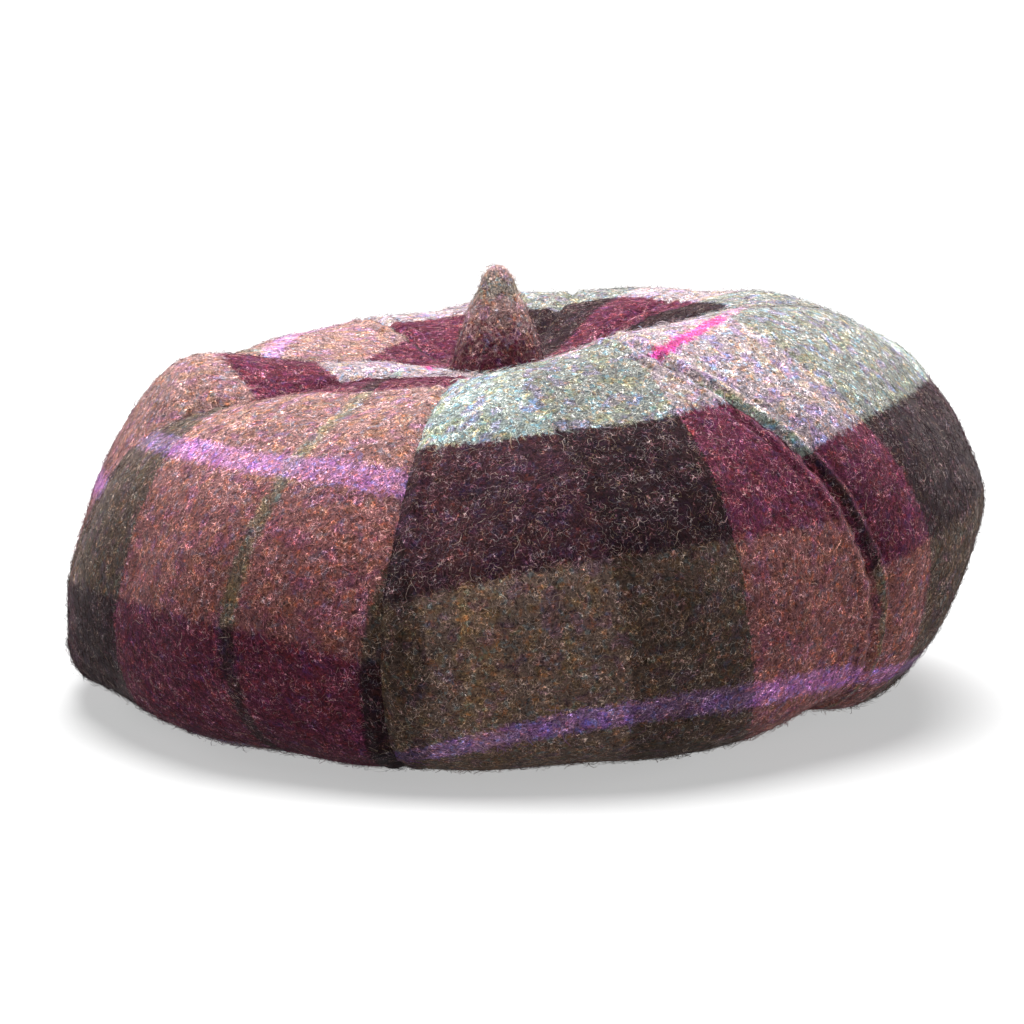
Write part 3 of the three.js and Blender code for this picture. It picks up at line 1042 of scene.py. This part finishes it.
@dataclass(frozen=True)
class Tartan:
    """The sett: how wide its rows, columns and stripes are, and the softness of their edges, in metres."""

    pale: float = 92 * MM
    dark: float = 42 * MM
    mid: float = 92 * MM
    orchid: float = 8 * MM
    magenta: float = 3.4 * MM
    olive: float = 150 * MM
    rose: float = 100 * MM
    rose_stripe: float = 6 * MM
    lighter: tuple[LighterStripe, ...] = (
        LighterStripe("middle of the olive column", 63 * MM, 115 * MM, (2.1, 2.2, 2.25)),
        LighterStripe("line in the olive column", 72 * MM, 83 * MM, (1.2, 1.15, 1.0)),
        LighterStripe("thin stripe", -53 * MM, -47 * MM, (1.7, 1.85, 1.75)),
    )
    soft: float = 1.3 * MM

    @property
    def rows(self) -> float:
        """The repeat along the cloth: pale, dark, mid, dark."""
        return self.pale + self.mid + 2 * self.dark

    @property
    def columns(self) -> float:
        """The repeat across the cloth: rose, olive."""
        return self.olive + self.rose

    @property
    def stripe_middle(self) -> float:
        """Where the thin stripe runs, in the middle of the rose column."""
        return self.rose / 2

    @property
    def rosy_edge(self) -> float:
        """Where a dark row meets a mid one, and their colours mix."""
        return self.pale / 2 + self.dark


TARTAN = Tartan()

# The colour where a row crosses a column, in the numbers that a screen shows.
CROSSINGS = {
    (Weft.PALE, Warp.OLIVE): (0.213, 0.237, 0.23),
    (Weft.PALE, Warp.ROSE): (0.342, 0.297, 0.325),
    (Weft.DARK, Warp.OLIVE): (0.094, 0.041, 0.058),
    (Weft.DARK, Warp.ROSE): (0.23, 0.087, 0.141),
    (Weft.MID, Warp.OLIVE): (0.194, 0.151, 0.132),
    (Weft.MID, Warp.ROSE): (0.318, 0.194, 0.196),
    (Weft.ORCHID, Warp.OLIVE): (0.267, 0.192, 0.279),
    (Weft.ORCHID, Warp.ROSE): (0.411, 0.262, 0.385),
    (Weft.MAGENTA, Warp.OLIVE): (0.394, 0.273, 0.341),
    (Weft.MAGENTA, Warp.ROSE): (0.535, 0.15, 0.359),
}


class Heather(NamedTuple):
    """Spots of another wool in the mix: how small and how rare they are, and their tint."""

    name: str
    per_metre: float
    from_value: float
    tint: tuple[float, float, float]


HEATHERS = (
    Heather("ochre", 240, 0.52, (1.1, 1.05, 0.8)),
    Heather("violet", 205, 0.53, (0.95, 0.82, 1.22)),
    Heather("cream", 900, 0.57, (1.7, 1.65, 1.5)),
    Heather("blue", 520, 0.57, (0.85, 1.3, 1.6)),
    Heather("rust", 610, 0.58, (1.45, 1.05, 0.8)),
    Heather("black", 760, 0.55, (0.5, 0.48, 0.5)),
)


class Hair(NamedTuple):
    """Fine curled hairs that lie in the felt: how small their curls are, their shift and their colour."""

    name: str
    per_metre: float
    shift: float
    shown: float
    colour: tuple[float, float, float]


HAIRS = (
    Hair("white", 430, 0.0, 0.50, (0.72, 0.68, 0.66)),
    Hair("grey", 560, 0.31, 0.48, (0.52, 0.54, 0.54)),
    Hair("rose", 390, 0.77, 0.50, (0.62, 0.42, 0.46)),
    Hair("straw", 480, 1.13, 0.50, (0.60, 0.54, 0.40)),
)


class Wool(NamedTuple):
    """One wool of the standing fibres: where its share of them starts, from 0 to 1, and its tint."""

    name: str
    start: float
    tint: tuple[float, float, float]


WOOLS = (
    Wool("cream", 0.0, (0.95, 0.92, 0.86)),
    Wool("blue", 0.14, (0.42, 0.62, 0.78)),
    Wool("rust", 0.22, (0.85, 0.54, 0.40)),
    Wool("violet", 0.30, (0.78, 0.56, 0.72)),
    Wool("grey", 0.38, (0.60, 0.60, 0.60)),
)


class Unevenness(NamedTuple):
    """How the yarn's brightness varies: how finely, and between which shares."""

    per_metre: float
    darkest: float
    lightest: float


@dataclass(frozen=True)
class TweedFinish:
    """The tartan tweed, as cloth or as the fibres that stand out of it.

    Scales are features in a metre, and details are how finely a noise is broken up. A painted highlight,
    paler and greyer, stands in for the light on the crest: it sets in between top_highlight_heights, and
    painted_light_from is how light a wool has to be to take part in it.
    Undyed_colour is mixed by undyed_share into the few fibres below undyed_below.
    """

    name: str
    fibres: bool
    edge_noise: float = 2.4 * MM
    edge_scale: float = 700.0
    edge_detail: float = 2.0
    bump: float = 0.5
    bump_depth: float = 0.4 * MM
    bump_scale: float = 1300.0
    bump_detail: float = 2.0
    hair_width: float = 0.014
    hair_strength: float = 0.95
    hair_share: float = 0.2
    hair_lit: float = 3.6
    hair_detail: float = 1.4
    patch_scale: float = 0.45
    patch_soft: float = 0.04
    spot_soft: float = 0.1
    spot_detail: float = 1.0
    noise_range: tuple[float, float] = (0.3, 0.7)
    levels: tuple[Unevenness, ...] = (
        Unevenness(1900, 0.5, 1.5), Unevenness(330, 0.8, 1.2), Unevenness(70, 0.9, 1.1),
    )
    # Painted highlight on the crest, standing in for the light from above: how much lighter and greyer the
    # cloth is made, between which heights, and from which lightness a wool takes it.
    top_highlight_gain: float = 1.2
    top_highlight_grey: tuple[float, float, float] = (0.66, 0.64, 0.62)
    top_highlight_grey_share: float = 0.38
    top_highlight_heights: tuple[float, float] = (62 * MM, 116 * MM)
    top_highlight_share: float = 0.42
    painted_light_from: tuple[float, float] = (0.012, 0.034)
    strand_light: float = 2.0
    strand_levels: tuple[float, float] = (0.65, 1.35)
    undyed_below: tuple[float, float] = (0.04, 0.05)
    undyed_share: float = 0.3
    undyed_colour: tuple[float, float, float] = (0.66, 0.60, 0.55)
    roughness: float = 0.95
    specular: float = 0.04
    sheen: float = 0.04
    sheen_roughness: float = 0.5
    sheen_tint: tuple[float, float, float] = (0.95, 0.92, 0.92)

    def crossing(self, graph: Graph, place: object) -> bpy.types.NodeSocket:
        """The tartan's colour at each place.

        Args:
            graph: The material's graph.
            place: The coordinates of the noise.

        Returns:
            A colour.
        """
        where = graph.node("UVMap", {"uv_map": "Tartan"}).outputs[0]
        apart = graph.node("SeparateXYZ", None, Vector=where)
        ragged = graph.swing(place, self.edge_scale, self.edge_detail)
        ragged = graph.math("MULTIPLY", ragged, self.edge_noise * 2)
        u = graph.math("WRAP", graph.math("ADD", apart.outputs[0], ragged), TARTAN.columns, 0.0)
        v = graph.math("SUBTRACT", apart.outputs[1], ragged)
        v = graph.math("WRAP", v, TARTAN.rows / 2, -TARTAN.rows / 2)
        soft = TARTAN.soft
        half = TARTAN.rose_stripe / 2
        thin = graph.band(u, TARTAN.stripe_middle - half, TARTAN.stripe_middle + half, soft)
        rose = graph.math("SUBTRACT", graph.inverse(graph.edge(u, TARTAN.rose, soft)), thin)
        distance = graph.math("ABSOLUTE", v)
        dyed = {crossing: linear(*shown) for crossing, shown in CROSSINGS.items()}
        row = {weft: graph.mix(rose, dyed[weft, Warp.OLIVE], dyed[weft, Warp.ROSE]) for weft in Weft}
        colour = row[Weft.PALE]
        starts = {
            Weft.DARK: TARTAN.pale / 2,
            Weft.MID: TARTAN.rosy_edge,
            Weft.ORCHID: TARTAN.rows / 2 - TARTAN.orchid / 2,
        }
        for weft, start in starts.items():
            colour = graph.mix(graph.edge(distance, start, soft), colour, row[weft])
        near = graph.inverse(graph.edge(distance, TARTAN.magenta / 2, soft / 2))
        colour = graph.mix(near, colour, row[Weft.MAGENTA])
        for stripe in TARTAN.lighter:
            mask = graph.band(u, TARTAN.rose + stripe.start, TARTAN.rose + stripe.end, soft)
            colour = graph.mix(mask, colour, graph.tinted(colour, stripe.tint))
        return colour

    def heathered(self, graph: Graph, place: object, colour: object) -> bpy.types.NodeSocket:
        """The colour with the spots of other wools and the unevenness of the yarn.

        Args:
            graph: The material's graph.
            place: The coordinates of the noise.
            colour: The tartan's colour.

        Returns:
            A colour.
        """
        for wool in HEATHERS:
            spot = graph.noise(place, wool.per_metre, self.spot_detail)
            mask = graph.step(spot, wool.from_value, wool.from_value + self.spot_soft)
            colour = graph.mix(mask, colour, graph.tinted(colour, wool.tint))
        for level in self.levels:
            value = graph.noise(place, level.per_metre, self.spot_detail)
            share = graph.spread(value, self.noise_range, (level.darkest, level.lightest))
            colour = graph.shaded(colour, share)
        return colour

    def painted_top_highlight(self, graph: Graph, place: object, colour: object) -> bpy.types.NodeSocket:
        """The colour with a painted highlight, paler and greyer towards the crest, that spares the dark
        wools.

        Args:
            graph: The material's graph.
            place: The coordinates, whose third number is the height.
            colour: The tartan's colour.

        Returns:
            A colour.
        """
        height = graph.node("SeparateXYZ", None, Vector=place).outputs[2]
        dyes = graph.node("SeparateColor", None, Color=colour)
        # Painted highlight: high on the crown the lighter wools are made paler and greyer, as the light from
        # above would show them.
        share = graph.math("MULTIPLY", graph.step(height, *self.top_highlight_heights), self.top_highlight_share)
        share = graph.math("MULTIPLY", share, graph.step(dyes.outputs[1], *self.painted_light_from))
        light = graph.tinted(colour, (self.top_highlight_gain,) * 3)
        pale = graph.mix(self.top_highlight_grey_share, light, linear(*self.top_highlight_grey))
        return graph.mix(share, colour, pale)

    def haired(self, graph: Graph, place: object, colour: object) -> bpy.types.NodeSocket:
        """The colour with fine curled hairs over it, which follow the level lines of a noise.

        Args:
            graph: The material's graph.
            place: The coordinates of the noise.
            colour: The cloth's colour.

        Returns:
            A colour.
        """
        for hair in HAIRS:
            mover = graph.node("VectorMath", {"operation": "ADD"}, Vector=place)
            graph.feed(mover.inputs[1], (hair.shift, -hair.shift, hair.shift))
            moved = mover.outputs[0]
            away = graph.math("ABSOLUTE", graph.swing(moved, hair.per_metre, self.hair_detail))
            line = graph.inverse(graph.step(away, 0.0, self.hair_width))
            patch = graph.noise(moved, hair.per_metre * self.patch_scale, 0.0)
            line = graph.math("MULTIPLY", line, graph.edge(patch, hair.shown, self.patch_soft))
            line = graph.math("MULTIPLY", line, self.hair_strength)
            lit = graph.tinted(colour, (self.hair_lit,) * 3)
            colour = graph.mix(line, colour, graph.mix(self.hair_share, lit, linear(*hair.colour)))
        return colour

    def strands(self, graph: Graph, colour: object) -> bpy.types.NodeSocket:
        """The fibres' own colours, one for each fibre, lighter than the cloth under them.

        Args:
            graph: The material's graph.
            colour: The tartan's colour.

        Returns:
            A colour.
        """
        where = graph.node("UVMap", {"uv_map": "Strand"}).outputs[0]
        tone = graph.node("SeparateXYZ", None, Vector=where)
        tint = graph.node("ValToRGB", None, Fac=tone.outputs[0])
        ramp = tint.color_ramp
        ramp.interpolation = "CONSTANT"
        for index, wool in enumerate(WOOLS):
            there = index < len(ramp.elements)
            stop = ramp.elements[index] if there else ramp.elements.new(wool.start)
            stop.position = wool.start
            stop.color = (*wool.tint, 1)
        light = graph.tinted(colour, (self.strand_light,) * 3)
        dyed = graph.mix(1.0, light, tint.outputs[0], "MULTIPLY")
        undyed = graph.spread(tone.outputs[0], self.undyed_below, (self.undyed_share, 0.0))
        mixed = graph.mix(undyed, dyed, linear(*self.undyed_colour))
        return graph.shaded(mixed, graph.spread(tone.outputs[1], (0.0, 1.0), self.strand_levels))

    def make(self) -> bpy.types.Material:
        """The material.

        Returns:
            It, with its whole graph.
        """
        graph = Graph(self.name)
        place = graph.coordinates()
        # The crest gets a painted highlight that stands in for the light from above.
        colour = self.painted_top_highlight(graph, place, self.crossing(graph, place))
        if self.fibres:
            colour = self.strands(graph, colour)
        else:
            colour = self.haired(graph, place, self.heathered(graph, place, colour))
        shader = graph.node("BsdfPrincipled", None, Base_Color=colour, Roughness=self.roughness,
                            Specular_IOR_Level=self.specular, Sheen_Weight=self.sheen,
                            Sheen_Roughness=self.sheen_roughness, Sheen_Tint=(*self.sheen_tint, 1))
        if not self.fibres:
            ridge = graph.math("ABSOLUTE", graph.swing(place, self.bump_scale, self.bump_detail))
            bump = graph.node("Bump", {"invert": True}, Strength=self.bump, Distance=self.bump_depth,
                              Height=ridge)
            graph.feed(shader.inputs["Normal"], bump.outputs[0])
        return graph.surface(shader)


@dataclass(frozen=True)
class BandFinish:
    """The headband's plain dark tweed."""

    name: str = "band_tweed"
    colour: tuple[float, float, float] = (0.30, 0.24, 0.24)
    bump: float = 0.5
    bump_depth: float = 0.3 * MM
    bump_scale: float = 1500.0
    bump_detail: float = 3.0
    roughness: float = 0.95
    specular: float = 0.04
    sheen: float = 0.05

    def make(self) -> bpy.types.Material:
        """The material.

        Returns:
            It, with its whole graph.
        """
        graph = Graph(self.name)
        place = graph.coordinates()
        colour = TweedFinish(self.name, False).heathered(graph, place, linear(*self.colour))
        rough = graph.noise(place, self.bump_scale, self.bump_detail)
        bump = graph.node("Bump", None, Strength=self.bump, Distance=self.bump_depth, Height=rough)
        shader = graph.node("BsdfPrincipled", None, Base_Color=colour, Roughness=self.roughness,
                            Specular_IOR_Level=self.specular, Sheen_Weight=self.sheen,
                            Normal=bump.outputs[0])
        return graph.surface(shader)


class Lamp(NamedTuple):
    """One soft lamp: its azimuth from the front, elevation, distance, size and power."""

    name: str
    azimuth: float
    elevation: float
    distance: float
    size: float
    watts: float
    colour: tuple[float, float, float] = (1.0, 1.0, 1.0)


@dataclass
class Studio:
    """The pale floor, the soft lamps and the camera.

    Elevation is the camera's, in degrees, and aim_right and aim_up carry its aim away from the middle
    of the hat's foot. Paper_glow is the floor's own light near the hat and far from it, and
    glow_reach is where these two lie, in metres.
    """

    axis: Vector
    elevation: float = 9.0
    lens: float = 100.0
    sensor: float = 36.0
    distance: float = 0.862
    aim_right: float = 4.24 * MM
    aim_up: float = 52.7 * MM
    sky: float = 0.14
    paper: float = 0.2
    paper_glow: tuple[float, float] = (0.45, 0.95)
    glow_reach: tuple[float, float] = (0.2, 0.7)
    paper_rough: float = 0.9
    floor_radius: float = 3.0
    floor_sides: int = 96
    floor_rings: tuple[float, ...] = (1e-4, 0.3, 1)
    wall_height: float = 1.0
    lamps: tuple[Lamp, ...] = (
        Lamp("lamp_top", 180, 82, 1.3, 1.2, 95),
        Lamp("lamp_left", -112, 22, 1.4, 0.7, 12),
        Lamp("lamp_right", 101, 7, 1.4, 0.7, 23),
    )

    def floor(self) -> bpy.types.Object:
        """The floor: a round sheet of pale paper, turned up at its edge, that glows away from the hat.

        Returns:
            The object.
        """
        turn = np.linspace(0, 2 * math.pi, self.floor_sides, endpoint=False)
        circle = np.stack([np.cos(turn), np.sin(turn), 0 * turn], -1)
        rise = np.array([0, 0, self.wall_height])
        rings = [circle * self.floor_radius * share for share in self.floor_rings]
        rings.append(circle * self.floor_radius + rise)
        number = np.arange(len(rings) * self.floor_sides).reshape(len(rings), self.floor_sides)
        beside = np.roll(number, -1, axis=1)
        quads = np.stack([number[:-1], number[1:], beside[1:], beside[:-1]], -1).reshape(-1, 4)
        made = Strip.mesh("floor", np.concatenate(rings), quads, {})
        graph = Graph("floor_paper")
        grey, white = (self.paper,) * 3 + (1,), (1, 1, 1, 1)
        place = graph.coordinates()
        away = graph.node("VectorMath", {"operation": "LENGTH"}, Vector=place).outputs["Value"]
        glow = graph.spread(away, self.glow_reach, self.paper_glow)
        shader = graph.node("BsdfPrincipled", None, Base_Color=grey, Roughness=self.paper_rough,
                            Specular_IOR_Level=0.0, Emission_Color=white, Emission_Strength=glow)
        made.data.materials.append(graph.surface(shader))
        return made

    def light(self) -> None:
        """The soft lamps and an even sky."""
        world = bpy.data.worlds.new("studio")
        world.use_nodes = True
        world.node_tree.nodes["Background"].inputs["Color"].default_value = (1, 1, 1, 1)
        world.node_tree.nodes["Background"].inputs["Strength"].default_value = self.sky
        bpy.context.scene.world = world
        for lamp in self.lamps:
            data = bpy.data.lights.new(lamp.name, "AREA")
            data.shape = "DISK"
            data.size, data.energy, data.color = lamp.size, lamp.watts, lamp.colour
            made = bpy.data.objects.new(lamp.name, data)
            a, e = math.radians(lamp.azimuth), math.radians(lamp.elevation)
            back = Vector((math.sin(a) * math.cos(e), -math.cos(a) * math.cos(e), math.sin(e)))
            made.location = self.axis + back * lamp.distance
            made.rotation_mode = "QUATERNION"
            made.rotation_quaternion = (-back).to_track_quat("-Z", "Y")
            bpy.context.collection.objects.link(made)

    def camera(self) -> None:
        """The camera, at the photo's angle and scale."""
        data = bpy.data.cameras.new("camera")
        data.lens = self.lens
        data.sensor_width = self.sensor
        made = bpy.data.objects.new("camera", data)
        e = math.radians(self.elevation)
        ahead, up = Vector((0, math.cos(e), -math.sin(e))), Vector((0, math.sin(e), math.cos(e)))
        aim = self.axis + Vector((1, 0, 0)) * self.aim_right + up * self.aim_up
        made.location = aim - ahead * self.distance
        made.rotation_mode = "QUATERNION"
        made.rotation_quaternion = ahead.to_track_quat("-Z", "Y")
        bpy.context.collection.objects.link(made)
        bpy.context.scene.camera = made

    def build(self) -> None:
        """Sets up the whole studio."""
        self.camera()
        self.light()
        self.floor()
        view = bpy.context.scene.view_settings
        view.view_transform = "Standard"
        view.look = "None"


def dress(piece: bpy.types.Object, material: bpy.types.Material, node: str | None) -> None:
    """Gives a piece its material and its body and, where it stands for a CAD node, hides that node's part.

    Args:
        piece: The object.
        material: Its finish.
        node: The CAD node that it replaces, or None.
    """
    piece.data.materials.append(material)
    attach(piece, BODY)
    if node:
        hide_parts(node)
    LOG.info("%s: %d faces", piece.name, len(piece.data.polygons))


def main() -> None:
    """Builds the studio, the gores, the peak and the headband."""
    logging.basicConfig(level=logging.INFO, format="%(name)s: %(message)s")
    low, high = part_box("headband")
    axis = Vector(((low[0] + high[0]) / 2, (low[1] + high[1]) / 2, 0.0))
    Studio(axis).build()
    band = Headband(axis)
    crown = Crown(axis, band.inner_radius + band.wall)
    tweed = TweedFinish("tweed", fibres=False).make()
    nap_wool = TweedFinish("nap_wool", fibres=True).make()
    for index, laid in enumerate(LAYOUT):
        cloth, fibres = Gore(index, crown, Seams(), Nap()).build()
        dress(cloth, tweed, laid.node)
        dress(fibres, nap_wool, None)
    cloth, fibres = Peak(crown, Nap(per_square_mm=1.1)).build()
    dress(cloth, tweed, "peak")
    dress(fibres, nap_wool, None)
    dress(band.build(), BandFinish().make(), band.node)


if __name__ == "__main__":
    main()
